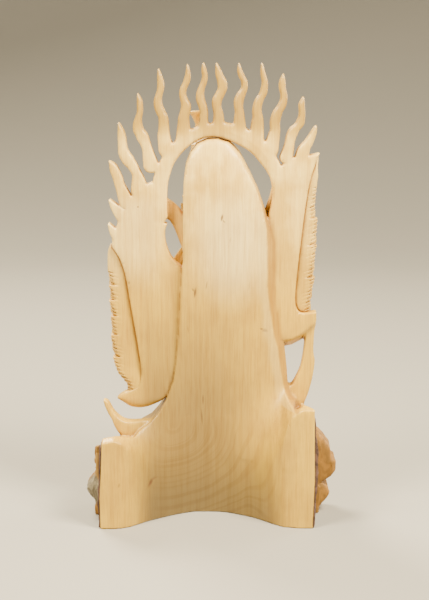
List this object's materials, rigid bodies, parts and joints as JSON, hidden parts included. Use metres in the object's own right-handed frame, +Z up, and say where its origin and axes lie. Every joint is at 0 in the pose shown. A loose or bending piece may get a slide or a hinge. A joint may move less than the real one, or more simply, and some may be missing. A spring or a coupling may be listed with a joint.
{
  "type": "rama and sita bust",
  "caption": "Hand-carved pale wood bust of a crowned couple before a flame aureole with wing boards, on a hollowed block with natural burl; stands on its flat underside",
  "frame": {"origin": "on the flat underside, at the middle of the carving's bounding box in X and Y", "axes": "+Z up; the two faces look along -Y and the smooth back faces +Y; +X is to the right of someone facing the figures"},
  "size_m": [0.268, 0.1292, 0.48],
  "materials": {
    "carved_wood": "satin"
  },
  "bodies": {
    "root": {"rama_sita_carving": "carved_wood"}
  },
  "joints": []
}
